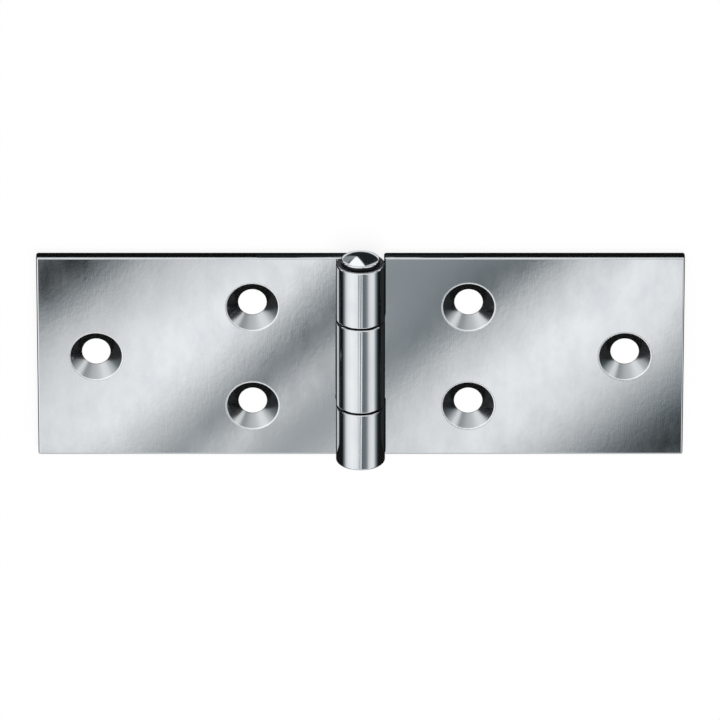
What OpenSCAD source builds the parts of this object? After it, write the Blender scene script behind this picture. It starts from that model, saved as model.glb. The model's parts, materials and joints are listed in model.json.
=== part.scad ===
// Wide table hinge: two blanked sheet leaves, rolled round one riveted pin.
// It lies open on the backs of its leaves. X runs across both leaves, Y along the pin and Z up
// out of the countersunk faces. The origin is under the pin, halfway along the leaves.

/* [Leaves] */
// Width across both leaves, laid open
open_w = 100; // [76:1:160]
// Length of the leaves along the pin
leaf_len = 34; // [28:0.5:60]
// Thickness of the sheet
sheet_t = 2; // [1.9:0.1:2.6]
// Rounding of the tumbled edges
edge_r = 0.3; // [0.1:0.05:0.4]

/* [Barrel] */
// Diameter of the pin's shank
pin_d = 3.5; // [3:0.1:5]
// Running clearance round the pin, on the radius
pin_play = 0.05; // [0.02:0.01:0.1]
// Length of the middle knuckle
mid_knuckle_len = 14.4; // [8:0.1:16]
// Gap between two knuckles along the pin
knuckle_gap = 0.2; // [0.1:0.05:0.5]
// Clearance between a notch's edge and the knuckle that it lets past
notch_gap = 0.25; // [0.1:0.05:0.8]
// Gap left between the tip of the roll and its own leaf
seam_gap = 0.1; // [0.05:0.05:0.4]

/* [Pin heads] */
// Diameter of the formed head
head_d = 6; // [5.6:0.1:6.8]
// Height of the formed head at its crown
head_h = 1.25; // [1:0.05:1.4]
// Height of the formed head's straight side
head_side_h = 0.5; // [0.2:0.05:0.6]
// Rounding of the formed head's rim
head_rim_r = 0.3; // [0.1:0.05:0.35]
// Diameter of the peened end
peen_d = 5.2; // [4.8:0.1:6]
// Height of the peened end at its crown
peen_h = 0.5; // [0.4:0.05:0.7]
// Height of the peened end's straight side
peen_side_h = 0.1; // [0.05:0.05:0.2]
// Rounding of the peened end's rim
peen_rim_r = 0.15; // [0.05:0.05:0.18]

/* [Screw holes] */
// Diameter of the clearance holes
hole_d = 4.4; // [3.6:0.1:5]
// Diameter of the countersinks at the face
sink_d = 8.1; // [7.4:0.1:8.4]
// Included angle of the countersinks
sink_angle = 90; // [88:1:110]
// Rounding of the countersinks' rims
sink_rim_r = 0.25; // [0.05:0.05:0.35]
// Distance from the pin's axis to the near pair of holes
near_hole_x = 16.7; // [11:0.1:20]
// Distance between the holes of the near pair
near_hole_pitch = 17; // [12:0.5:18]
// Distance from the leaf's outer edge to the far hole
far_hole_inset = 9.1; // [6:0.1:12]

/* [Hidden] */
$fn = 96;

// Overshoot of cutters past the faces they open
margin = 1;

leaf_w = open_w / 2;
bore_r = pin_d / 2 + pin_play;
barrel_r = bore_r + sheet_t;
axis_z = barrel_r;

// The notches reach in under the other leaf's knuckles. Their upper edge, which lies a bore's
// radius below the pin's axis, is what comes closest to a knuckle.
notch_x = sqrt(pow(barrel_r + notch_gap, 2) - pow(bore_r, 2));
outer_knuckle_len = (leaf_len - mid_knuckle_len) / 2 - knuckle_gap;
outer_knuckle_y = (leaf_len - outer_knuckle_len) / 2;

// The roll runs from straight under the pin to where its rounded tip just clears the leaf
roll_start = 270;
tip_drop = asin((bore_r - edge_r - seam_gap) / (barrel_r - edge_r));
roll_turn = 270 + tip_drop;
roll_overshoot = 2 * asin(edge_r / bore_r);

// Each hole of a leaf, as its distance from the pin and its place along it
hole_places = [
    [near_hole_x, -near_hole_pitch / 2],
    [near_hole_x, near_hole_pitch / 2],
    [leaf_w - far_hole_inset, 0]
];
sink_depth = (sink_d - hole_d) / 2 / tan(sink_angle / 2);

// What rounding takes off a corner: the sector past a circle between two directions
module corner_waste(radius, from_angle, to_angle) {
    middle = (from_angle + to_angle) / 2;
    difference() {
        polygon([
            [0, 0],
            2 * radius * [cos(from_angle), sin(from_angle)],
            3 * radius * [cos(middle), sin(middle)],
            2 * radius * [cos(to_angle), sin(to_angle)]
        ]);
        circle(radius);
    }
}

// The sheet in section: a strip from x = 0 to its length, rounded at the far end and,
// where both_ends is true, at the near end too
module sheet_section(length, both_ends = true) {
    difference() {
        square([length, sheet_t]);
        for (z = [edge_r, sheet_t - edge_r]) {
            front = z > sheet_t / 2;
            translate([length - edge_r, z])
                corner_waste(edge_r, front ? 0 : -90, front ? 90 : 0);
            if (both_ends)
                translate([edge_r, z])
                    corner_waste(edge_r, front ? 90 : 180, front ? 180 : 270);
        }
    }
}

// A strip of sheet with rounded long edges that runs along X from x = 0
module strip(length, width) {
    rotate([90, 0, 90])
        linear_extrude(length)
            translate([-width / 2, 0])
                sheet_section(width);
}

// The same strip with both of its ends rounded as well
module rounded_strip(length, width) {
    intersection() {
        strip(length, width);
        rotate([90, 0, 0])
            linear_extrude(width + 2 * margin, center = true)
                sheet_section(length);
    }
}

// The cutter that ends a roll: all that lies past its last turn, but for a rounded tip.
// It is drawn under the pin's axis and turned to its place round it.
module tip_cutter(width) {
    rotate([90, 0, 0])
        linear_extrude(width + 2 * margin, center = true)
            translate([0, -barrel_r])
                difference() {
                    translate([0, -margin])
                        square([barrel_r, sheet_t + 2 * margin]);
                    sheet_section(edge_r, both_ends = false);
                }
}

// One knuckle: the strip that crosses from the leaf to the pin, and its roll round the pin.
// It is drawn for a leaf that lies towards -X.
module knuckle(width) {
    reach = notch_x + edge_r;
    translate([-reach, 0, 0])
        strip(reach, width);
    translate([0, 0, axis_z])
        difference() {
            rotate([90, 0, 0])
                rotate_extrude(start = roll_start, angle = roll_turn + roll_overshoot)
                    translate([barrel_r, -width / 2])
                        rotate(90)
                            sheet_section(width);
            rotate([0, -roll_turn, 0])
                tip_cutter(width);
        }
}

// The cutter for one screw hole, its countersink opening at the front face with a rounded rim
module screw_hole() {
    slope = sink_angle / 2;
    rim_x = sink_d / 2 + sink_rim_r * (1 - sin(slope)) / cos(slope);
    translate([0, 0, -margin])
        cylinder(d = hole_d, h = sheet_t + 2 * margin);
    translate([0, 0, sheet_t - sink_depth])
        cylinder(d1 = hole_d, d2 = sink_d + 2 * margin * tan(slope), h = sink_depth + margin);
    rotate_extrude()
        translate([rim_x, sheet_t - sink_rim_r])
            corner_waste(sink_rim_r, 90, 180 - slope);
}

// A leaf that lies towards -X, with a knuckle for each [place along the pin, length]
module leaf(knuckles) {
    difference() {
        union() {
            translate([-leaf_w, 0, 0])
                rounded_strip(leaf_w - notch_x, leaf_len);
            for (k = knuckles)
                translate([0, k[0], 0])
                    knuckle(k[1]);
        }
        for (p = hole_places)
            translate([-p[0], p[1], 0])
                screw_hole();
    }
}

// Half section of a rivet's head: a straight side, a rounded rim and a shallow crown
module head_section(radius, side_h, rim_r, height) {
    rise = height - side_h;
    rim_x = radius - rim_r;
    crown_r = (rim_x * rim_x + rise * rise - rim_r * rim_r) / (2 * (rise - rim_r));
    rim_angle = atan2(side_h - height + crown_r, rim_x);
    difference() {
        intersection() {
            square([radius, height]);
            translate([0, height - crown_r])
                circle(crown_r);
        }
        translate([rim_x, side_h])
            corner_waste(rim_r, 0, rim_angle);
    }
}

module left_leaf() {
    color("#b4bcc0")
        leaf([[-outer_knuckle_y, outer_knuckle_len], [outer_knuckle_y, outer_knuckle_len]]);
}

module right_leaf() {
    color("#a9b2b7")
        mirror([1, 0, 0])
            leaf([[0, mid_knuckle_len]]);
}

// The pin fills the barrel from end to end, with its formed head at +Y and its peened end at -Y
module pin() {
    color("#ced4d7")
        translate([0, 0, axis_z])
            rotate([-90, 0, 0]) {
                cylinder(d = pin_d, h = leaf_len, center = true);
                translate([0, 0, leaf_len / 2])
                    rotate_extrude()
                        head_section(head_d / 2, head_side_h, head_rim_r, head_h);
                mirror([0, 0, 1])
                    translate([0, 0, leaf_len / 2])
                        rotate_extrude()
                            head_section(peen_d / 2, peen_side_h, peen_rim_r, peen_h);
            }
}

left_leaf();
right_leaf();
pin();
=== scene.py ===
# %% [markdown]
# # Wide table hinge
# A wide table hinge is three pieces of steel: two sheet leaves, each blanked flat and then rolled
# at one edge into knuckles, and a pin that is riveted through the barrel which the knuckles form.
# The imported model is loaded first, as a frame that nothing here may move. The leaves and the pin
# could keep its meshes, which have the right shape, but those are loose triangles without a flat
# pattern to lay the steel's grain on. So each is made again in the same place, as the press makes it.

# %% Load the frame
import json
import math

import bpy
import numpy as np
from mathutils import Matrix, Vector
from mathutils.geometry import delaunay_2d_cdt


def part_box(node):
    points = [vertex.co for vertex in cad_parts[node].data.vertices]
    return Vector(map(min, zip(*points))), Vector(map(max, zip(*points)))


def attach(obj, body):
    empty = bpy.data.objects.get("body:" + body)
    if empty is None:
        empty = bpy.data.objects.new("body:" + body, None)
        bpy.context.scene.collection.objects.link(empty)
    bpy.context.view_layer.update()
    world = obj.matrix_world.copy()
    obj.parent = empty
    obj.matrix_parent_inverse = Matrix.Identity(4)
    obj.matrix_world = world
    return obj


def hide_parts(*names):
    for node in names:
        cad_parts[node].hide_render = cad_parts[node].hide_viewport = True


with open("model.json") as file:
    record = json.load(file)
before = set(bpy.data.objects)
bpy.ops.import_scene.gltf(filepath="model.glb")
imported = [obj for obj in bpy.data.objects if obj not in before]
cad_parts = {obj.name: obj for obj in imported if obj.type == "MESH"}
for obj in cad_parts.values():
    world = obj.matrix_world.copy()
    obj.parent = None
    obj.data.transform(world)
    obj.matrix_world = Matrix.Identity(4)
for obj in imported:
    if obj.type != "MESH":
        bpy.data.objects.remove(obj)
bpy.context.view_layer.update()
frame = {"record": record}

# %% [markdown]
# ## Sizes
# What the frame can tell is read from it: the leaves' width and length, the barrel's radius, the
# screw holes and the height of the pin's heads. The rest are the sizes that the sheet is made to,
# such as its thickness and the rounding that tumbling gives its edges.

# %% Sizes from the frame, and those of the sheet
MM = 0.001
left_low, left_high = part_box("left_leaf")
pin_low, pin_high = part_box("pin")
mounts = {mount["name"]: mount for mount in frame["record"]["mounts"]}
near_screws = mounts["left_near_screws"]
far_screw = mounts["left_far_screw"]

leaf_w = -left_low.x
half_len = left_high.y
barrel_r = left_high.z / 2
near_hole_x = -near_screws["pos_m"][0]
far_hole_x = -far_screw["pos_m"][0]
half_pitch = near_screws["dims"]["spacing_y_mm"] * MM / 2
hole_r = far_screw["dims"]["r_mm"] * MM

# Radii of the sheet's edges, the blank's corners, its notches' inner corners and sharp corners
edge_r = 0.3 * MM
corner_r = 0.35 * MM
notch_corner_r = 0.2 * MM
small_r = 0.05 * MM

# The barrel is the sheet rolled up, and the notches clear it
sheet_t = 2.0 * MM
bore_r = barrel_r - sheet_t
half_mid_knuckle = 7.2 * MM
knuckle_gap = 0.2 * MM
notch_gap = 0.25 * MM
notch_x = math.sqrt((barrel_r + notch_gap) ** 2 - bore_r ** 2)
seam_gap = 0.1 * MM
sink_r = 4.05 * MM
sink_rim_r = 0.25 * MM
sink_depth = sink_r - hole_r

# The roll ends where its rounded tip just clears the leaf that it came from
roll_turn = 1.5 * math.pi + math.asin((bore_r - edge_r - seam_gap) / (barrel_r - edge_r))
print(f"leaf {leaf_w / MM:.1f} x {2 * half_len / MM:.1f} mm, barrel {2 * barrel_r / MM:.2f} mm across,"
      f" rolled through {math.degrees(roll_turn):.1f} degrees")

# %% [markdown]
# ## Paths with rounded corners
# The outline of the blank, the section of its edge, the section of a countersink and half the
# section of the pin are all straight lines whose corners are rounded by arcs. A Bevel modifier
# could round the finished meshes, but it leaves the shading of the wide flat faces to be guessed.
# One function lays the arcs exactly and gives the true direction of the surface at each point,
# which steel as bright as this needs, because it mirrors every error in its normals.

# %% One function for outlines and sections
ARC_STEPS = 6
SAME_POINT = 1e-9


def rounded_path(corners, radii, closed=False, stations=()):
    """Straight lines between corners, with each corner rounded by an arc that touches both lines.
    An arc of radius r at a turn of t starts r tan(t / 2) before its corner. Its point at heading h
    is its centre plus r (sin h, -cos h), where the centre lies to the left of a left turn.
    Stations are values of the first coordinate at which the straight lines get points as well.
    Returns the points, the direction to the right of travel at each, and the stations' indices."""
    corners, count = np.asarray(corners, float), len(corners)
    ways = np.roll(corners, -1, axis=0) - corners
    headings = np.arctan2(ways[:, 1], ways[:, 0])
    arcs = []
    for i in range(count):
        before = headings[i - 1] if closed or i > 0 else headings[i]
        after = headings[i] if closed or i < count - 1 else before
        turn = (after - before + math.pi) % (2 * math.pi) - math.pi
        heading = before + turn * np.linspace(0, 1, ARC_STEPS + 1 if radii[i] else 1)
        right = np.stack([np.sin(heading), -np.cos(heading)], axis=1)
        back = radii[i] * math.tan(abs(turn) / 2)
        start = corners[i] - back * np.array([math.cos(before), math.sin(before)])
        arcs.append((start + math.copysign(radii[i], turn) * (right - right[0]), right))
    points, normals, runs, total = [], [], [], 0
    for i, (arc, right) in enumerate(arcs):
        last, ahead = arc[-1], arcs[(i + 1) % count][0][0]
        span = ahead - last
        share = np.zeros(0)
        if len(stations) and abs(span[0]) > SAME_POINT:
            share = (np.asarray(stations) - last[0]) / span[0]
            share = np.sort(share[(share > 0) & (share < 1)])
        if len(share):
            runs.append(total + len(arc) + np.arange(len(share)))
        points += [arc, last + share[:, None] * span]
        normals += [right, np.repeat(right[-1:], len(share), axis=0)]
        total += len(arc) + len(share)
    points, normals = np.concatenate(points), np.concatenate(normals)
    if not closed:
        fresh = np.r_[True, np.linalg.norm(np.diff(points, axis=0), axis=1) > SAME_POINT]
        points, normals = points[fresh], normals[fresh]
    return points, normals, runs


# %% [markdown]
# ## The blank's edges and holes
# On the real leaf the press shears the outline, tumbling rounds its arrises, and a drill and a
# countersink cut the screw holes. Each of these edges is one profile carried round a closed path.
# A profile's first coordinate says how far it lies inside the edge, its second how high above the
# leaf's back, and it runs from the front face, over the edge, to the back face.

# %% Profiles of the tumbled edge and of a screw hole
edge_profile = rounded_path(
    [(edge_r, sheet_t), (0, sheet_t), (0, 0), (edge_r, 0)], [0, edge_r, edge_r, 0])

# Beside the rim, two points on the flat face and one on the cone keep the rim's finish and painted
# highlight to the rim
flat_start, flat_end, cone_start = 0.35 * MM, 0.22 * MM, 0.15 * MM
hole_profile = rounded_path(
    [(sink_depth + flat_start, sheet_t), (sink_depth + flat_end, sheet_t), (sink_depth, sheet_t),
     (sink_depth - cone_start, sheet_t - cone_start), (0, sheet_t - sink_depth),
     (0, 0), (edge_r, 0)],
    [0, 0, sink_rim_r, 0, small_r, small_r, 0])
print(f"edge profile of {len(edge_profile[0])} points, hole profile of {len(hole_profile[0])}")


def carry(path, outward, profile, facing):
    """A profile carried round a closed path in the blank. Point (i, k) is path point i, moved
    against its outward direction by the profile's inset k, at the profile's height k. Its normal
    leans from outward to the front as the profile's own does. Returns points and normals."""
    around, along = len(path), len(profile)
    plan = path[:, None] - profile[None, :, :1] * outward[:, None]
    height = np.broadcast_to(profile[None, :, 1:], (around, along, 1))
    lean = -facing[None, :, :1] * outward[:, None]
    rise = np.broadcast_to(facing[None, :, 1:], (around, along, 1))
    return np.concatenate([plan, height], axis=2), np.concatenate([lean, rise], axis=2)


def closed_grid(around, along, first):
    """Quads of a grid that closes round on itself, where point (i, k) is number
    first + i * along + k. They face to the right of travel when k runs from front to back."""
    i, k = np.meshgrid(np.arange(around), np.arange(along - 1), indexing="ij")
    here = first + i * along + k
    beyond = first + (i + 1) % around * along + k
    return np.stack([here, here + 1, beyond + 1, beyond], axis=2).reshape(-1, 4)


# %% [markdown]
# ## The flat faces
# Between the edges lie the leaf's flat front and back. They could be one large polygon each, but
# the stretch that will be rolled must bend at many lines along the pin. So the face is divided
# into triangles that keep the outlines of the holes and these bending lines as their edges.

# %% Triangles between the outline and the holes
def fill(loops, lines):
    """Triangles of the region inside the first loop and outside the others, which keep the loops
    and the given lines as edges. Blender's triangulation fills the whole hull (its output type
    0), and of that a triangle counts as inside where a ray from its centre crosses the loops an
    odd number of times. They turn anticlockwise."""
    points = np.concatenate(loops) / MM
    first = np.cumsum([0] + [len(loop) for loop in loops])
    rings = [np.stack([a + np.arange(b - a), a + (np.arange(b - a) + 1) % (b - a)], axis=1)
             for a, b in zip(first[:-1], first[1:])]
    edges = np.concatenate(rings)
    wanted = np.concatenate([edges, lines]).tolist()
    _, _, faces, sources, _, _ = delaunay_2d_cdt(
        [Vector(p) for p in points], wanted, [], 0, SAME_POINT / MM)
    triangles = np.array([source[0] for source in sources])[np.array(faces)]
    centre = points[triangles].mean(axis=1)[:, None]
    start, end = points[edges[:, 0]][None], points[edges[:, 1]][None]
    spans = (start[..., 1] > centre[..., 1]) != (end[..., 1] > centre[..., 1])
    rise = np.where(spans, end[..., 1] - start[..., 1], 1.0)
    crossing = start[..., 0] + (centre[..., 1] - start[..., 1]) * (end[..., 0] - start[..., 0]) / rise
    inside = (spans & (crossing > centre[..., 0])).sum(axis=1) % 2 == 1
    triangles = triangles[inside]
    a, b, c = (points[triangles[:, n]] for n in range(3))
    clockwise = (b - a)[:, 0] * (c - a)[:, 1] < (b - a)[:, 1] * (c - a)[:, 0]
    triangles[clockwise] = triangles[clockwise][:, ::-1]
    return triangles


# %% [markdown]
# ## Rolling the knuckles
# This is the bend that the hinge press makes. On the blank, s runs across the leaf towards the
# pin, with s = 0 straight under the pin's axis. A Simple Deform modifier could bend the sheet, but
# it needs an object of its own as its axis and gives no exact radius. The formula is short, and it
# turns the normals too.

# %% The bend, as a formula
ROLL_STEPS = 96
roll_stations = np.linspace(0, roll_turn * barrel_r, ROLL_STEPS + 1)
tip_s = roll_turn * barrel_r + edge_r
print(f"the blank's tongues reach {tip_s / MM:.1f} mm past the pin's axis")


def roll(blank, facing):
    """Blank coordinates (s, y, height) to the rolled leaf, with the normals turned alike.
    The sheet turns by s / barrel_r, from 0 up to roll_turn, so that a point at radius
    r = barrel_r - height lies at x = r sin(turn), z = barrel_r - r cos(turn). The flat leaf
    before the roll and the short tip after it run on straight."""
    s, y, height = blank.T
    turn = np.clip(s / barrel_r, 0, roll_turn)
    straight = s - turn * barrel_r
    radius = barrel_r - height
    x = radius * np.sin(turn) + straight * np.cos(turn)
    z = barrel_r - radius * np.cos(turn) + straight * np.sin(turn)
    across, along, out = facing.T
    normals = [across * np.cos(turn) - out * np.sin(turn), along,
               across * np.sin(turn) + out * np.cos(turn)]
    return np.stack([x, y, z], axis=1), np.stack(normals, axis=1)


# %% [markdown]
# ## Putting a mesh together
# Every piece ends as one closed mesh with its object at the origin. It carries a UV map in metres
# of the flat sheet, so that the grain follows the steel round the roll, and marks for what was
# done to each stretch of surface: sheared by the press, turned by a cutter or left as rolled. Some
# marks also paint shade or a highlight into the steel's colour.

# %% One function makes each piece
def add_object(name, data):
    """An object in the scene that shows a mesh, a camera's or a lamp's data."""
    obj = bpy.data.objects.new(name, data)
    bpy.context.scene.collection.objects.link(obj)
    return obj


def make_piece(name, node, body, points, normals, faces, marks, flat=None):
    """A mesh with exact normals, one attribute for each mark and, where it was made from a flat
    sheet, a UV map of its flat coordinates."""
    mesh = bpy.data.meshes.new(name)
    mesh.from_pydata(points.tolist(), [], [face.tolist() for face in faces])
    mesh.polygons.foreach_set("use_smooth", np.ones(len(mesh.polygons), bool))
    if flat is not None:
        corner = np.zeros(len(mesh.loops), np.int32)
        mesh.loops.foreach_get("vertex_index", corner)
        uv = mesh.uv_layers.new(name="flat")
        uv.data.foreach_set("uv", flat[corner].astype(np.float32).ravel())
    for mark, value in marks.items():
        layer = mesh.attributes.new(mark, "FLOAT", "POINT")
        layer.data.foreach_set("value", value.astype(np.float32))
    mesh.update()
    mesh.normals_split_custom_set_from_vertices(normals.tolist())
    piece = add_object(name, mesh)
    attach(piece, body)
    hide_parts(node)
    sizes = (points.max(axis=0) - points.min(axis=0)) / MM
    print(f"{name}: {len(points)} points, {len(faces)} faces, {np.round(sizes, 2).tolist()} mm")
    return piece


# %% [markdown]
# ## The leaves
# Each leaf is blanked in one stroke from 2 mm strip: a rectangle with tongues that will become its
# knuckles. The left leaf has a tongue at each end and the right leaf one in the middle. Both are
# built lying towards -X, outline first, then the holes, then the flat faces, and then rolled. The
# right leaf is mirrored afterwards, which turns its faces inside out, so their order is reversed.

# %% Blank, drill and roll a leaf
notch_y = half_mid_knuckle + knuckle_gap
left_outline = [
    (-leaf_w, -half_len), (tip_s, -half_len), (tip_s, -notch_y), (-notch_x, -notch_y),
    (-notch_x, notch_y), (tip_s, notch_y), (tip_s, half_len), (-leaf_w, half_len)]
left_radii = [corner_r] * 3 + [notch_corner_r] * 2 + [corner_r] * 3
right_outline = [
    (-leaf_w, -half_len), (-notch_x, -half_len), (-notch_x, -half_mid_knuckle),
    (tip_s, -half_mid_knuckle), (tip_s, half_mid_knuckle), (-notch_x, half_mid_knuckle),
    (-notch_x, half_len), (-leaf_w, half_len)]
right_radii = [corner_r] * 2 + [notch_corner_r] + [corner_r] * 2 + [notch_corner_r] + [corner_r] * 2
hole_centres = [(-near_hole_x, -half_pitch), (-near_hole_x, half_pitch), (-far_hole_x, 0)]
HOLE_STEPS = 96

# The pale line round a countersink is its rounded rim, with a painted highlight, which lies this far
# out from the sharp corner
rim_middle, rim_half_w = 0.015 * MM, 0.1 * MM

# How far its normal leans sideways, from 0 to 1, where a surface begins to be sheared, and how far
# where it is wholly turned
SHEARED_LEAN, TURNED_LEAN = 0.8, 0.7


def leaf(node, body, outline, radii, mirrored):
    """One leaf from its blank's corners: edges and holes are carried profiles, the faces between
    them are filled, and the whole is rolled."""
    path, outward, runs = rounded_path(outline, radii, closed=True, stations=roll_stations)
    lines = np.concatenate([np.stack([a, b[::-1]], axis=1) for a, b in zip(runs[::2], runs[1::2])])
    angle = -2 * math.pi * np.arange(HOLE_STEPS) / HOLE_STEPS
    spoke = np.stack([np.cos(angle), np.sin(angle)], axis=1)
    edges = [(path, outward, edge_profile, 1.0)]
    edges += [(np.array(c) + hole_r * spoke, -spoke, hole_profile, 0.0) for c in hole_centres]

    points, normals, faces, sheared, turned, rim = [], [], [], [], [], []
    fronts, backs, first = [], [], 0
    for loop, away, (profile, facing, _), is_edge in edges:
        grid, lean = carry(loop, away, profile, facing)
        around, along = grid.shape[:2]
        numbers = first + np.arange(around * along).reshape(around, along)
        fronts.append((grid[:, 0, :2], numbers[:, 0]))
        backs.append((grid[:, -1, :2], numbers[:, -1]))
        faces += list(closed_grid(around, along, first))
        points.append(grid.reshape(-1, 3))
        normals.append(lean.reshape(-1, 3))
        side = np.tile(np.abs(facing[:, 0]), around)
        sheared.append(np.clip((side - SHEARED_LEAN) / (1 - SHEARED_LEAN), 0, 1) * is_edge)
        # The turned mark also paints the cone a little darker, as painted shade in the recess
        turned.append(np.minimum(side / TURNED_LEAN, 1.0) * (1 - is_edge))
        # The rim mark paints the countersink's rounded rim a brighter colour, as a painted highlight
        near_rim = np.abs(profile[:, 0] - sink_depth - rim_middle) < rim_half_w
        rim.append(np.tile(near_rim, around) * (1 - is_edge))
        first += around * along
    for face, order in ((fronts, 1), (backs, -1)):
        numbers = np.concatenate([n for _, n in face])
        faces += list(numbers[fill([loop for loop, _ in face], lines)][:, ::order])

    blank, facing = np.concatenate(points), np.concatenate(normals)
    place, facing = roll(blank, facing)
    if mirrored:
        place, facing = place * (-1, 1, 1), facing * (-1, 1, 1)
        faces = [face[::-1] for face in faces]
    marks = {"sheared": np.concatenate(sheared), "turned": np.concatenate(turned),
             "rim": np.concatenate(rim), "height": blank[:, 2]}
    return make_piece(f"{node}_sheet", node, body, place, facing, faces, marks,
                      blank[:, :2])


left_leaf = leaf("left_leaf", "left", left_outline, left_radii, mirrored=False)
right_leaf = leaf("right_leaf", "right", right_outline, right_radii, mirrored=True)

# %% [markdown]
# ## The pin
# The pin is a length of bright drawn wire with a head formed on one end, and the other end is
# peened over once it is through the knuckles. Half of its section is one path, turned round its
# axis like work in a lathe. The domes are arcs of a large circle that run into the rounded rims.

# %% Half sections, and a lathe
PIN_STEPS = 96


def head_corners(radius, side_h, rim_r, height):
    """Corners and radii of half a rivet's head, from its crown down to its seat. The crown's arc
    meets the rim's arc where both have the same slope, so with a rise above the straight side of
    e and a rim centre at x, its radius is (x^2 + e^2 - rim_r^2) / (2 (e - rim_r))."""
    rise, rim_x = height - side_h, radius - rim_r
    crown_r = (rim_x ** 2 + rise ** 2 - rim_r ** 2) / (2 * (rise - rim_r))
    slope = math.asin(rim_x / (crown_r - rim_r))
    shoulder = side_h + rim_r * math.tan(math.pi / 4 - slope / 2)
    crown_x = crown_r * math.tan(slope / 2)
    corners = [(0, height), (crown_x, height), (radius, shoulder), (radius, 0)]
    return corners, [0, crown_r, rim_r, small_r]


def lathe(profile, facing):
    """A half section turned round the Y axis at the barrel's centre: a point of radius r goes to
    r (cos a, sin a) across the axis. The two points on the axis become the poles."""
    angle = 2 * math.pi * np.arange(PIN_STEPS) / PIN_STEPS
    spoke = np.stack([np.cos(angle), 0 * angle, np.sin(angle)], axis=1)
    axis = np.array([0, 1, 0])
    ring, lean = profile[1:-1], facing[1:-1]
    points = ring[None, :, :1] * spoke[:, None] + ring[None, :, 1:] * axis
    normals = lean[None, :, :1] * spoke[:, None] + lean[None, :, 1:] * axis
    poles = profile[[0, -1], 1:] * axis
    points = np.concatenate([points.reshape(-1, 3), poles]) + (0, 0, barrel_r)
    normals = np.concatenate([normals.reshape(-1, 3), [-axis, axis]])
    along, low, high = len(ring), len(points) - 2, len(points) - 1
    here = np.arange(PIN_STEPS) * along
    beyond = np.roll(here, -1)
    caps = [np.stack([np.full_like(here, low), here, beyond], axis=1),
            np.stack([np.full_like(here, high), beyond + along - 1, here + along - 1], axis=1)]
    faces = list(closed_grid(PIN_STEPS, along, 0)) + list(np.concatenate(caps))
    return points, normals, faces


# %% [markdown]
# From end to end the pin's half section is the peened end, the shank and the formed head. The
# frame tells how wide and high the head is and how high the peened end. The shank is 0.1 mm
# thinner than the bore that it turns in.

# %% Turn the pin
pin_r = 1.75 * MM
head_r, head_h = pin_high.x, pin_high.y - half_len
head_side_h, head_rim_r = 0.5 * MM, 0.3 * MM
peen_r, peen_h = 2.6 * MM, -pin_low.y - half_len
peen_side_h, peen_rim_r = 0.1 * MM, 0.15 * MM
head, head_radii = head_corners(head_r, head_side_h, head_rim_r, head_h)
peen, peen_radii = head_corners(peen_r, peen_side_h, peen_rim_r, peen_h)
section = [(r, -half_len - h) for r, h in peen] + [(pin_r, -half_len), (pin_r, half_len)]
section += [(r, half_len + h) for r, h in reversed(head)]
section_radii = peen_radii + [small_r] * 2 + head_radii[::-1]
pin_profile, pin_facing, _ = rounded_path(section, section_radii)
points, normals, faces = lathe(pin_profile, pin_facing)

# The heads' straight sides, where the normal leans less than this along the pin, get a mark that
# paints them dark, as painted shade
FLANK_LEAN = 0.2
painted_shade_flank = (np.abs(points[:, 1]) > half_len) & (np.abs(normals[:, 1]) < FLANK_LEAN)
pin = make_piece("riveted_pin", "pin", "left", points, normals, faces,
                 {"painted_shade_flank": painted_shade_flank})

# %% [markdown]
# ## Steel
# Bright cold-rolled steel is a metal whose finish is made by polished rolls: they leave a fine
# grain along the strip, which here lies along the pin, and faint clouds where the oil film between
# roll and strip was thicker. A metal has no colour of its own besides its reflections, so the
# shader is fully metallic, and its base colour is the tint of what it mirrors. The noise could be
# an image, but the real sizes of the grain are known, so it is worked out from them.

# %% Colours and nodes
def linear(hex_colour):
    """An sRGB hex colour as linear light: divided by 12.92 near black, and elsewhere
    ((c + 0.055) / 1.055) to the power of 2.4."""
    srgb = np.array([int(hex_colour[i:i + 2], 16) for i in (1, 3, 5)]) / 255
    light = np.where(srgb <= 0.04045, srgb / 12.92, ((srgb + 0.055) / 1.055) ** 2.4)
    return (*light.tolist(), 1.0)


def add_node(tree, kind, inputs=None, **settings):
    """A node with its settings. Each input is named as its socket is, or numbered where several
    have one name. A value that is another node gives the first output that it has in use."""
    node = tree.nodes.new(kind)
    for key, value in settings.items():
        setattr(node, key, value)
    for key, value in (inputs or {}).items():
        named = [socket for socket in node.inputs if socket.enabled and socket.name == key]
        socket = named[0] if named else node.inputs[key]
        if isinstance(value, bpy.types.Node):
            value = next(output for output in value.outputs if output.enabled)
        if isinstance(value, bpy.types.NodeSocket):
            tree.links.new(value, socket)
        else:
            socket.default_value = value
    return node


def new_tree(name):
    """A material that has no nodes yet, and its node tree."""
    material = bpy.data.materials.new(name)
    material.use_nodes = True
    material.node_tree.nodes.clear()
    return material, material.node_tree


# %% [markdown]
# ### The leaves' finish
# Four surfaces meet on a leaf. The rolled faces are bright and smooth. The sheared edge has a shiny
# band, where the punch burnished it, and a dull dark one, where the steel tore. The countersinks
# show the rings of the cutter, which leaves a rougher steel behind, and their colour is a little
# darker as painted shade in the recess. And the rim of each countersink is a narrow rounded edge
# that gathers light from a wide angle, and its brighter colour is a painted highlight.

# %% Patterns of the sheet
leaf_steel, tree = new_tree("bright_cold_rolled_steel")
flat_map = add_node(tree, "ShaderNodeUVMap", uv_map="flat")

# Each pattern is (its name, its size across the leaf, its size along the pin, its detail)
PATTERNS_MM = [("clouds", 4.0, 7.0, 4), ("grain", 0.16, 2.5, 3), ("dimples", 0.7, 1.0, 2)]
patterns = {}
for name, across, along, detail in PATTERNS_MM:
    # One unit of noise is one grain, so the flat map's metres are divided by the grain's real size
    grains = add_node(tree, "ShaderNodeMapping",
                      {"Vector": flat_map, "Scale": (1 / (across * MM), 1 / (along * MM), 1)})
    patterns[name] = add_node(tree, "ShaderNodeTexNoise",
                              {"Vector": grains, "Scale": 1.0, "Detail": detail, "Roughness": 0.6},
                              noise_dimensions="2D")

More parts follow.
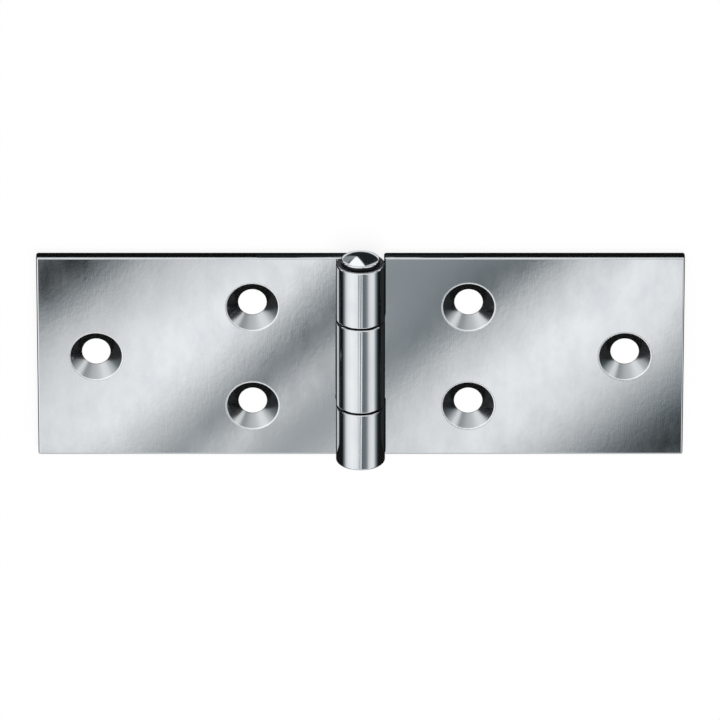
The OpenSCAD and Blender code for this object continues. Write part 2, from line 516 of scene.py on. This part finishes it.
# Most values of a noise lie between these two, which are spread over 0 to 1
NOISE_LOW, NOISE_HIGH = 0.3, 0.7
clouds = add_node(tree, "ShaderNodeMapRange",
                  {"Value": patterns["clouds"], "From Min": NOISE_LOW, "From Max": NOISE_HIGH})

# How far apart the cutter's rings lie down the countersink, and the heights between which the
# sheared edge turns from burnished to torn
ring_step = 0.1 * MM
burnished_low, torn_high = 1.1 * MM, 0.9 * MM
marks = {name: add_node(tree, "ShaderNodeAttribute", attribute_name=name).outputs["Fac"]
         for name in ("sheared", "turned", "rim", "height")}
depth = add_node(tree, "ShaderNodeMath", {0: marks["height"], 1: 1 / ring_step}, operation="MULTIPLY")
rings = add_node(tree, "ShaderNodeTexNoise", {"W": depth, "Scale": 1.0, "Detail": 1.0},
                 noise_dimensions="1D")
torn = add_node(tree, "ShaderNodeMapRange",
                {"Value": marks["height"], "From Min": burnished_low, "From Max": torn_high})
torn = add_node(tree, "ShaderNodeMath", {0: torn, 1: marks["sheared"]}, operation="MULTIPLY")
print(f"the sheet has {len(patterns)} patterns of its own, beside the cutter's rings and a torn band")

# %% Bright cold-rolled steel
# Each layer is (where it lies, its colour, its roughness): the torn edge is dull and dark, the cut
# cone is a little softer than the rolled face and painted a little darker as shade in the recess,
# and the rim blurs what it mirrors and is painted brighter as a painted highlight
LAYERS = [(torn, "#55585b", 0.42), (marks["turned"], "#ced2d5", 0.14), (marks["rim"], "#f6f8fa", 0.3)]
colour = add_node(tree, "ShaderNodeMix",
                  {"Factor": clouds, "A": linear("#dfe3e6"), "B": linear("#d8dce0")}, data_type="RGBA")
rough = add_node(tree, "ShaderNodeMapRange", {"Value": clouds, "To Min": 0.045, "To Max": 0.065})
for place, tint, roughness in LAYERS:
    colour = add_node(tree, "ShaderNodeMix", {"Factor": place, "A": colour, "B": linear(tint)},
                      data_type="RGBA")
    rough = add_node(tree, "ShaderNodeMix", {"Factor": place, "A": rough, "B": roughness})
relief = add_node(tree, "ShaderNodeMix",
                  {"Factor": marks["turned"], "A": patterns["grain"], "B": rings})
waves = add_node(tree, "ShaderNodeBump", {"Distance": 0.0007 * MM, "Height": patterns["dimples"]})
bump = add_node(tree, "ShaderNodeBump", {"Distance": 0.0004 * MM, "Height": relief, "Normal": waves})
steel = add_node(tree, "ShaderNodeBsdfPrincipled",
                 {"Base Color": colour, "Metallic": 1.0, "Roughness": rough, "Normal": bump})
add_node(tree, "ShaderNodeOutputMaterial", {"Surface": steel})
for piece in (left_leaf, right_leaf):
    piece.data.materials.append(leaf_steel)
print(f"finished the leaves with {len(tree.nodes)} nodes")

# %% [markdown]
# ### The pin's finish
# The pin is drawn wire, which is brighter than sheet, and its heads were pressed by a polished
# snap. The snap never touches a head's straight side, which is left dull, and that side is painted
# dark as painted shade. The fine scratches run along the wire, so the noise is long in Y.

# %% Bright drawn steel
pin_steel, tree = new_tree("bright_drawn_steel")
scratch_w, scratch_len = 0.15 * MM, 2 * MM
place = add_node(tree, "ShaderNodeTexCoord").outputs["Object"]
grains = add_node(tree, "ShaderNodeMapping",
                  {"Vector": place, "Scale": (1 / scratch_w, 1 / scratch_len, 1 / scratch_w)})
scratches = add_node(tree, "ShaderNodeTexNoise",
                     {"Vector": grains, "Scale": 1.0, "Detail": 3.0, "Roughness": 0.6})
painted_shade_flank = add_node(tree, "ShaderNodeAttribute", attribute_name="painted_shade_flank").outputs["Fac"]
# The heads' straight sides are painted dark here, as painted shade
colour = add_node(tree, "ShaderNodeMix",
                  {"Factor": painted_shade_flank, "A": linear("#e6e9ec"), "B": linear("#3a3d40")}, data_type="RGBA")
rough = add_node(tree, "ShaderNodeMapRange",
                 {"Value": scratches, "From Min": NOISE_LOW, "From Max": NOISE_HIGH,
                  "To Min": 0.06, "To Max": 0.12})
rough = add_node(tree, "ShaderNodeMix", {"Factor": painted_shade_flank, "A": rough, "B": 0.45})
bump = add_node(tree, "ShaderNodeBump", {"Distance": 0.0005 * MM, "Height": scratches})
steel = add_node(tree, "ShaderNodeBsdfPrincipled",
                 {"Base Color": colour, "Metallic": 1.0, "Roughness": rough, "Normal": bump})
add_node(tree, "ShaderNodeOutputMaterial", {"Surface": steel})
pin.data.materials.append(pin_steel)
print(f"finished the pin with {len(tree.nodes)} nodes")

# %% [markdown]
# ## The camera
# The photograph looks down on the hinge from the side of the pin's formed head, 26.5 degrees off
# the straight view from above, with the pin upright in the picture. A long lens from nearly two
# metres away keeps the leaves' edges parallel, as they are there.

# %% Place the camera
VIEW_TILT = math.radians(26.5)
LENS_MM, SENSOR_MM, PICTURE_PX = 600.0, 36.0, 720

# The photograph's scale at the hinge, and the place that is the middle of the picture
PX_PER_M = 6459.0
look_at = Vector((-0.077, -1.274, 0.635)) * MM
distance = LENS_MM / SENSOR_MM * PICTURE_PX / PX_PER_M

camera = add_object("camera", bpy.data.cameras.new("camera"))
camera.data.lens, camera.data.sensor_width = LENS_MM, SENSOR_MM
camera.data.clip_end = 10.0
right = Vector((1, 0, 0))
up = Vector((0, math.cos(VIEW_TILT), -math.sin(VIEW_TILT)))
back = Vector((0, math.sin(VIEW_TILT), math.cos(VIEW_TILT)))
turn = Matrix((right, up, back)).transposed().to_4x4()
camera.matrix_world = Matrix.Translation(look_at + distance * back) @ turn
bpy.context.scene.camera = camera
print(f"camera {distance:.3f} m away")

# %% [markdown]
# ## The light tent
# Polished metal is photographed inside a tent of pale and dark cards, because all that it shows is
# its surroundings. This tent is a roof and four walls that only mirror-like rays see. Its glow is
# worked out as a number for each point: slanting bands down the middle, which the flat leaves
# mirror, long soft boxes on both sides for the barrel, and one behind the pin's head for the
# countersinks.

# %% The bands that the leaves mirror
# The tent's sides, the camera and the leaves' front face, all in mm
ROOF_Z, SIDE_X, BACK_Y, FRONT_Y = 450.0, 150.0, 300.0, -350.0
eye = (look_at + distance * back) / MM
plate_z = sheet_t / MM


def fade(value, low, high):
    """0 below low, 1 above high and a smooth rise between them, 3 u^2 - 2 u^3."""
    u = np.clip((value - low) / (high - low), 0, 1)
    return u * u * (3 - 2 * u)


def mixed(first, second, share):
    """The first value where the share is 0, the second where it is 1, and their mix between."""
    return first * (1 - share) + second * share


# Each edge of a band is (its place along x halfway up the leaf, its slant, the glow there). The
# slant is how far to the right it moves for each mm up the picture.
LEFT_BANDS = [(-61, 1.45, 0.0), (-55.5, 1.4, 0.34), (-52, 1.3, 0.61), (-49.5, 1.3, 0.74),
              (-47.5, 1.3, 0.74), (-43, 1.3, 0.85), (-35.5, 1.15, 1.02), (-25, 1.15, 1.17),
              (-21.6, 1.2, 1.02), (-18.6, 1.15, 0.77), (-16.3, 1.0, 0.6), (-14.4, 0.95, 0.45),
              (-11.9, 0.95, 0.13), (-6.5, 1.3, 0.18), (-3.4, 1.2, 1.1), (-0.5, 1.05, 0.56),
              (6, 1.1, 0.4), (20, 1.1, 0.85)]
RIGHT_SLANT = 1.3
RIGHT_BANDS = [(place, RIGHT_SLANT, glow) for place, glow in (
    (-20, 0.36), (-4, 0.31), (0, 0.25), (6, 0.11), (9, 0.14), (14, 0.68), (17, 0.79), (28, 1.12),
    (42, 0.98), (50, 0.6), (60, 0.12), (66, 0.0))]
print(f"{len(LEFT_BANDS)} edges of bands over the left leaf and {len(RIGHT_BANDS)} over the right")

# From the middle of the leaves to their upper or lower edge, in mm of the picture
HALF_HEIGHT = 15.0


def slanting(leaf_x, height, edges):
    """The glow along x through slanting edges: a sum of ramps, each of which rises or falls by
    the difference of two neighbouring edges' glows while x goes from the one to the other. Past
    the leaf's upper and lower edge all of them go on with the slant of the last one."""
    near = np.clip(height, -HALF_HEIGHT, HALF_HEIGHT)
    last_slant = edges[-1][1]
    places = [place + slant * near + last_slant * (height - near) for place, slant, _ in edges]
    glow = edges[0][2]
    for start, end, before, after in zip(places, places[1:], edges, edges[1:]):
        glow = glow + (after[2] - before[2]) * np.clip((leaf_x - start) / (end - start), 0, 1)
    return glow


# How much dimmer the left leaf's bands are near its upper and lower edge, how much paler the right
# leaf's dark band is low down, and how much dimmer its bright one is there
LEFT_DIP, DARK_LIFT, RIGHT_DIP = 0.08, 0.1, 0.13


def bands_at(leaf_x, height):
    """The glow wanted at a place in the picture of the leaves, in mm from its middle. The left
    leaf's bands are brightest halfway up it. The right leaf's dark band is paler from there on
    down, and the bright one beside it is dimmer near the leaf's lower edge."""
    left = slanting(leaf_x, height, LEFT_BANDS)
    left = left * (1 - LEFT_DIP * fade(np.abs(height), 3, 12))
    across = leaf_x - RIGHT_SLANT * height
    right = slanting(leaf_x, height, RIGHT_BANDS)
    right = right + DARK_LIFT * fade(-height, -13, -3) * fade(-across, -14, -8)
    right = right * (1 - RIGHT_DIP * fade(-height, 6, 12) * fade(-across, -36, -30))
    return mixed(left, right, fade(leaf_x, -3, 3))


# %% [markdown]
# The bands are wanted in the picture but must hang on the tent. A flat leaf is a plane mirror, so
# each point of the tent shows up where the line to it from the camera's mirror image crosses the
# leaf. To serve other cameras too, the bands repeat along the tent.

# %% From the tent to the leaves
# The bands repeat after this height, and each copy begins to blend into the next at that one
BAND_PERIOD, BLEND_START = 45.0, 15.5
print(f"the camera's mirror image lies {eye.z - 2 * plate_z:.0f} mm under the leaves' backs")


def leaf_bands(x, y, z):
    """The bands at a point of the tent, and a share that is 1 over the leaves and 0 past their
    ends. The point shows up on the leaves at eye + share (point - eye), where share is the mirror
    image's depth below the leaves, close to eye.z, divided by its depth below the point."""
    share = eye.z / (eye.z + z - 2 * plate_z)
    leaf_x = eye.x + share * (x - eye.x)
    height = (eye.y + share * (y - eye.y)) * math.cos(VIEW_TILT)
    height = (height + BAND_PERIOD / 2) % BAND_PERIOD - BAND_PERIOD / 2
    blend = 0.5 * fade(np.abs(height), BLEND_START, BAND_PERIOD / 2)
    beyond = height - np.copysign(BAND_PERIOD, height)
    bands = mixed(bands_at(leaf_x, height), bands_at(leaf_x, beyond), blend)
    return bands, fade(-np.abs(leaf_x), -56, -51)


# %% [markdown]
# The rest of the tent goes by direction as seen from the hinge. Its roll round the pin counts for
# the barrel. Its bearing and rise count for the soft box behind, which only the countersinks and
# the rounded edges on that side mirror, and for a pale strip above that box. The wall in front is
# plain and pale: the upper rims of the countersinks mirror it, and it shows in views from behind.

# %% Glow of the whole tent
# The glow of the tent's sides by roll and that of the soft box by bearing, as (degrees, glow)
SIDES = [(-90, 0.05), (-80, 0.25), (-70, 0.75), (-60, 1.0), (-40, 1.13), (-16, 1.02), (0, 0.35),
         (6, 0.21), (22, 0.21), (31, 0.37), (40, 0.79), (50, 0.95), (63, 0.94), (72, 0.42),
         (84, 0.06), (90, 0.03)]
SOFT_BOX = [(-86, 0.0), (-74, 0.6), (-60, 1.0), (-40, 1.05), (-15, 0.75), (10, 0.6), (25, 0.45),
            (38, 0.4), (50, 0.9), (62, 1.0), (72, 0.6), (84, 0.0)]
BESIDE_BOX_GLOW, STRIP_GLOW, FRONT_GLOW = 0.03, 1.1, 0.9

# At the back the bands keep this part of their contrast, on top of this glow
BACK_CONTRAST, BACK_GLOW = 0.65, 0.5

# The share of the glow for a ray that has met metal twice, and what the strip at the left adds
TWICE_SHARE, STRIP_SHARE = 0.04, 0.8


def tent_glow(x, y, z):
    """The glow at a point of the tent, in mm. Roll is its angle round the pin, from straight up
    towards +X, and bearing and rise are its compass angle from +Y and its height in degrees. Past
    the hinge, towards +Y, the bands are paler, and below them lie the pale strip and the box."""
    roll = np.degrees(np.arctan2(x, z))
    bearing = np.degrees(np.arctan2(x, y))
    rise = np.degrees(np.arctan2(z, np.hypot(x, y)))
    is_back = fade(y, 0, 60)
    bands, over_leaves = leaf_bands(x, y, z)
    bands = mixed(bands, BACK_GLOW + BACK_CONTRAST * bands, is_back)
    glow = mixed(np.interp(roll, *zip(*SIDES)), bands, over_leaves)
    glow = mixed(glow, STRIP_GLOW, is_back * fade(-rise, -66, -60))
    box = BESIDE_BOX_GLOW + np.interp(bearing, *zip(*SOFT_BOX)) * fade(rise, 6, 13)
    glow = mixed(glow, box, is_back * fade(-rise, -42, -34))
    return mixed(glow, FRONT_GLOW, fade(-y, 300, 345) * fade(-rise, -50, -40))


def tent_again(x, y, z):
    """The share of its glow that the tent keeps for a ray that has met metal twice: little, but
    for a strip at its left, which draws the thin light line down the barrel's left edge."""
    roll = np.degrees(np.arctan2(x, z))
    is_strip = fade(roll, -62, -55) * fade(-roll, 32, 39) * fade(-y, 20, 60)
    return TWICE_SHARE + STRIP_SHARE * is_strip


print(f"glow straight above the hinge: {tent_glow(0.0, 0.0, ROOF_Z):.2f}")

# %% [markdown]
# Each side of the tent is a grid of points with its glow as a mark on the mesh, so the shader only
# has to read it. The tent throws no shadow and lights nothing but reflections, so it can't change
# the level of the light on the floor. Where steel mirrors steel, in a countersink or beside the
# barrel, the photograph is near black, which two reflections off bright steel alone don't give. So
# a second mark says how much of the glow is left for a ray that has met metal twice.

# %% Build the tent
TENT_STEP = 4.0


def reflected_only(obj):
    """Hides an object of the stage from all but mirror-like rays."""
    obj.visible_camera = obj.visible_diffuse = obj.visible_shadow = False
    obj.visible_transmission = obj.visible_volume_scatter = False


def glowing_grid(name, origin, across, rise, step, glow, again):
    """A flat grid from a corner along two edges, all in mm, with its two marks worked out at each
    point by functions of its place."""
    origin, across, rise = (np.array(v, float) for v in (origin, across, rise))
    columns = int(np.linalg.norm(across) / step) + 1
    rows = int(np.linalg.norm(rise) / step) + 1
    u, v = np.meshgrid(np.linspace(0, 1, columns), np.linspace(0, 1, rows), indexing="ij")
    points = origin + u[..., None] * across + v[..., None] * rise
    i, k = np.meshgrid(np.arange(columns - 1), np.arange(rows - 1), indexing="ij")
    here = i * rows + k
    quads = np.stack([here, here + rows, here + rows + 1, here + 1], axis=2).reshape(-1, 4)
    mesh = bpy.data.meshes.new(name)
    mesh.from_pydata((points.reshape(-1, 3) * MM).tolist(), [], quads.tolist())
    for mark, level in (("glow", glow), ("again", again)):
        layer = mesh.attributes.new(mark, "FLOAT", "POINT")
        layer.data.foreach_set("value", level(*np.moveaxis(points, 2, 0)).astype(np.float32).ravel())
    mesh.materials.append(tent_cloth)
    side = add_object(name, mesh)
    reflected_only(side)


# The cloth is a little bluer where it glows faintly than where it is bright
tent_cloth, tree = new_tree("tent_cloth")
glow = add_node(tree, "ShaderNodeAttribute", attribute_name="glow").outputs["Fac"]
in_light = add_node(tree, "ShaderNodeMapRange", {"Value": glow, "From Min": 0.05, "From Max": 0.6})
tint = add_node(tree, "ShaderNodeMix",
                {"Factor": in_light, "A": linear("#e4f6ff"), "B": linear("#ffffff")}, data_type="RGBA")
again = add_node(tree, "ShaderNodeAttribute", attribute_name="again").outputs["Fac"]
bounces = add_node(tree, "ShaderNodeLightPath").outputs["Glossy Depth"]
dimmed = add_node(tree, "ShaderNodeMapRange",
                  {"Value": bounces, "From Min": 1.0, "From Max": 2.0, "To Min": 1.0, "To Max": again})
strength = add_node(tree, "ShaderNodeMath", {0: glow, 1: dimmed}, operation="MULTIPLY")
glowing = add_node(tree, "ShaderNodeEmission", {"Color": tint, "Strength": strength})
add_node(tree, "ShaderNodeOutputMaterial", {"Surface": glowing})
tent_cloth.cycles.emission_sampling = "NONE"

width, depth = 2 * SIDE_X, BACK_Y - FRONT_Y
for name, origin, across, rise in (
        ("tent_roof", (-SIDE_X, FRONT_Y, ROOF_Z), (width, 0, 0), (0, depth, 0)),
        ("tent_left", (-SIDE_X, FRONT_Y, 0), (0, depth, 0), (0, 0, ROOF_Z)),
        ("tent_right", (SIDE_X, FRONT_Y, 0), (0, depth, 0), (0, 0, ROOF_Z)),
        ("tent_back", (-SIDE_X, BACK_Y, 0), (width, 0, 0), (0, 0, ROOF_Z)),
        ("tent_front", (-SIDE_X, FRONT_Y, 0), (width, 0, 0), (0, 0, ROOF_Z))):
    glowing_grid(name, origin, across, rise, TENT_STEP, tent_glow, tent_again)
print("built the tent")

# %% [markdown]
# ## Floor, soft lamp and background
# The hinge lies on a plain white floor. The camera and mirror-like rays see it white, with part of
# its real shading mixed in, so that the soft shadow round the hinge stays. A black card on the
# floor, which only reflections see, darkens the sheet's edges and the barrel's flanks.

# %% Floor and black card
# Levels of the floor and the two cards on it, and where the black card ends along the pin, in mm
FLOOR_Z, CARD_Z, HEAD_CARD_Z = -0.02, -0.01, -0.005
CARD_END_Y = 22.5


def flat_card(name, low, high, z, material):
    """A rectangle on the level z between two corners, in mm, which faces up."""
    mesh = bpy.data.meshes.new(name)
    corners = [(low[0], low[1], z), (high[0], low[1], z), (high[0], high[1], z), (low[0], high[1], z)]
    mesh.from_pydata((np.array(corners) * MM).tolist(), [], [(0, 1, 2, 3)])
    mesh.materials.append(material)
    panel = add_object(name, mesh)
    return panel


def shown_rays(tree):
    """1 for the rays that show the background: from the camera, off metal and through glass."""
    path = add_node(tree, "ShaderNodeLightPath").outputs
    some = add_node(tree, "ShaderNodeMath", {0: path["Is Camera Ray"], 1: path["Is Glossy Ray"]},
                    operation="MAXIMUM")
    return add_node(tree, "ShaderNodeMath", {0: some, 1: path["Is Transmission Ray"]},
                    operation="MAXIMUM")


# What is left of the share goes to the paper's real shading, which holds the hinge's soft shadow
WHITE_SHARE = 0.88
white_paper, tree = new_tree("white_paper")
paper = add_node(tree, "ShaderNodeBsdfDiffuse", {"Color": linear("#fafafa")})
plain = add_node(tree, "ShaderNodeEmission", {"Color": (1, 1, 1, 1), "Strength": 1.0})
share = add_node(tree, "ShaderNodeMath", {0: shown_rays(tree), 1: WHITE_SHARE}, operation="MULTIPLY")
surface = add_node(tree, "ShaderNodeMixShader", {0: share, 1: paper, 2: plain})
add_node(tree, "ShaderNodeOutputMaterial", {"Surface": surface})
white_paper.cycles.emission_sampling = "NONE"
flat_card("floor", (-3000, -3000), (3000, 3000), FLOOR_Z, white_paper)

black_card, tree = new_tree("black_card")
black = add_node(tree, "ShaderNodeBsdfDiffuse", {"Color": (0.01, 0.01, 0.01, 1)})
add_node(tree, "ShaderNodeOutputMaterial", {"Surface": black})
card = flat_card("card_under_hinge", (-SIDE_X, -SIDE_X), (SIDE_X, CARD_END_Y), CARD_Z, black_card)
reflected_only(card)
print(f"laid the floor {-FLOOR_Z} mm under the leaves' backs and a black card on it")

# %% [markdown]
# To this camera the dome of the pin's head mirrors the table in front of it and not the tent. A
# small card lies there, again for reflections only: black, with a pale wedge that becomes the
# head's highlight, and a pale rim that draws a fine line round the dome.

# %% Card for the pin's head
# The wedge's tip, the rim's middle, and the card's reach to each side, its ends and its step, in mm
TIP_X, TIP_Y, RIM_Y = -0.9, 20.3, 21.0
HEAD_CARD_X, HEAD_CARD_Y, HEAD_CARD_STEP = 16.0, (17.05, 47.05), 0.25

# Glows of the card's black, of a grey field beside the wedge, of the rim and of the wedge
BLACK_GLOW, GREY_GLOW, RIM_GLOW, WEDGE_GLOW = 0.02, 0.28, 0.9, 1.15


def head_card_glow(x, y, z):
    """The glow of the card, in mm. The dome mirrors what lies inside a half ellipse 3.5 mm deep
    towards the hinge and one 10.5 mm deep away from it, both 4.6 mm to each side. The rim starts
    a little inside its near half. The wedge opens from its tip between two straight edges."""
    turn = np.degrees(np.arctan2(x - TIP_X, y - TIP_Y))
    wedge = WEDGE_GLOW * fade(turn, -38, -31) * fade(-turn, -20, -15) * fade(y, TIP_Y, RIM_Y)
    grey = GREY_GLOW * fade(-turn, 42, 48) * fade(turn, -130, -110)
    ring = np.hypot(x / 4.6, (y - RIM_Y) / np.where(y < RIM_Y, 2.9, 10.5))
    outer = np.where(y < RIM_Y, 1.25, 2.2)
    on_card = fade(-ring, -outer, -0.9 * outer)
    rim = RIM_GLOW * fade(ring, 0.96, 1.04)
    return BLACK_GLOW + np.maximum(np.maximum(wedge, grey), rim) * on_card


glowing_grid("card_for_pin_head", (-HEAD_CARD_X, HEAD_CARD_Y[0], HEAD_CARD_Z),
             (2 * HEAD_CARD_X, 0, 0), (0, HEAD_CARD_Y[1] - HEAD_CARD_Y[0], 0), HEAD_CARD_STEP,
             head_card_glow, lambda x, y, z: np.ones_like(x))
print("laid the card for the pin's head")

# %% [markdown]
# One wide lamp overhead gives the soft shadow, and the world fills it in. Together they light a
# white surface to about white, so any colour would render about as it is written.

# %% Lamp and world
# The lamp's side in metres and its power, and how strongly the world lights surfaces
LAMP_SIZE, LAMP_WATTS, AMBIENT = 0.7, 5.8, 0.5
lamp_data = bpy.data.lights.new("overhead_soft_lamp", "AREA")
lamp_data.shape, lamp_data.size, lamp_data.energy = "SQUARE", LAMP_SIZE, LAMP_WATTS
lamp = add_object("overhead_soft_lamp", lamp_data)
lamp.location = (0.1, -0.15, 0.9)
lamp.rotation_euler = (-lamp.location).to_track_quat("-Z", "Y").to_euler()
lamp.visible_glossy = False

world = bpy.data.worlds.new("white_studio")
world.use_nodes = True
world.node_tree.nodes.clear()
tree = world.node_tree
strength = add_node(tree, "ShaderNodeMapRange",
                    {"Value": shown_rays(tree), "To Min": AMBIENT, "To Max": 1.0})
sky = add_node(tree, "ShaderNodeBackground", {"Color": (1, 1, 1, 1), "Strength": strength})
add_node(tree, "ShaderNodeOutputWorld", {"Surface": sky})
bpy.context.scene.world = world
bpy.context.scene.view_settings.view_transform = "Standard"
print(f"hung a lamp of {LAMP_WATTS} W, {lamp.location.z:.1f} m above the floor")
